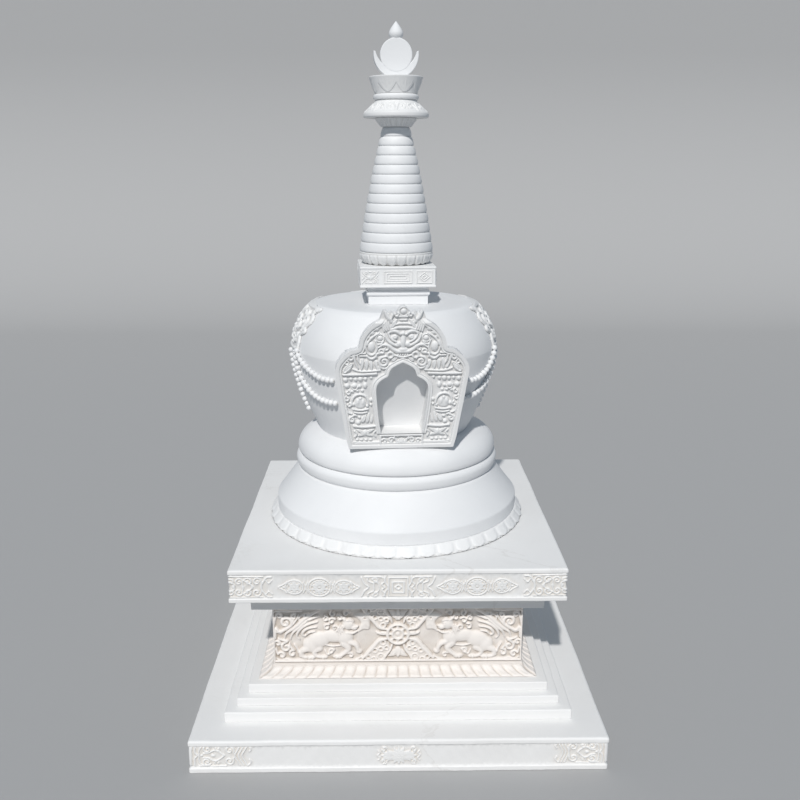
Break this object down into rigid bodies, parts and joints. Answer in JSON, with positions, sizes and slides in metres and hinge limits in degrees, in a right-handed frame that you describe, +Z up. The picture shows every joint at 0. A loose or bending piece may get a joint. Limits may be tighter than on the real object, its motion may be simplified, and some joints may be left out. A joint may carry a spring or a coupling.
{
  "type": "stupa",
  "caption": "Free-standing carved white marble stupa: stepped square plinth, table slab on a carved dado, round drum, vase body with an open arched niche, ringed spire, umbrella and finial.",
  "frame": {"origin": "centre of the underside of the square base plate, at ground level", "axes": "+Z up along the spire, -Y towards the front with the niche, +X to the right seen from the front"},
  "size_m": [1.15, 1.15, 2],
  "materials": {
    "white_marble": "honed white marble",
    "carved_marble": "carved, unpolished cream-white marble",
    "plinth_marble": "honed white marble with faint grey veins"
  },
  "bodies": {
    "root": {"base_plate": "plinth_marble", "beads_back_left_lower": "white_marble", "beads_back_left_upper": "white_marble", "beads_back_right_lower": "white_marble", "beads_back_right_upper": "white_marble", "beads_drop_back": "white_marble", "beads_drop_left": "white_marble", "beads_drop_right": "white_marble", "beads_front_left_lower": "white_marble", "beads_front_left_upper": "white_marble", "beads_front_right_lower": "white_marble", "beads_front_right_upper": "white_marble", "cornice_fillet": "white_marble", "crescent": "white_marble", "crown": "carved_marble", "dado_block": "carved_marble", "dado_relief_back": "carved_marble", "dado_relief_front": "carved_marble", "dado_relief_left": "carved_marble", "dado_relief_right": "carved_marble", "drum": "white_marble", "drum_lotus_ring": "white_marble", "flame_jewel": "white_marble", "harmika_block": "carved_marble", "harmika_fillet": "white_marble", "harmika_foot": "white_marble", "mask_plaque_back": "white_marble", "mask_plaque_left": "white_marble", "mask_plaque_right": "white_marble", "niche_frame": "carved_marble", "plinth_lotus_cavetto": "carved_marble", "plinth_step_lower": "plinth_marble", "plinth_step_middle": "plinth_marble", "plinth_step_upper": "plinth_marble", "spire_lotus": "carved_marble", "spire_rings": "white_marble", "sun_disc": "white_marble", "table_slab": "white_marble", "torus_lower": "white_marble", "torus_upper": "white_marble", "umbrella": "white_marble", "umbrella_collar": "white_marble", "umbrella_lotus": "carved_marble", "vase_body": "white_marble"}
  },
  "joints": []
}
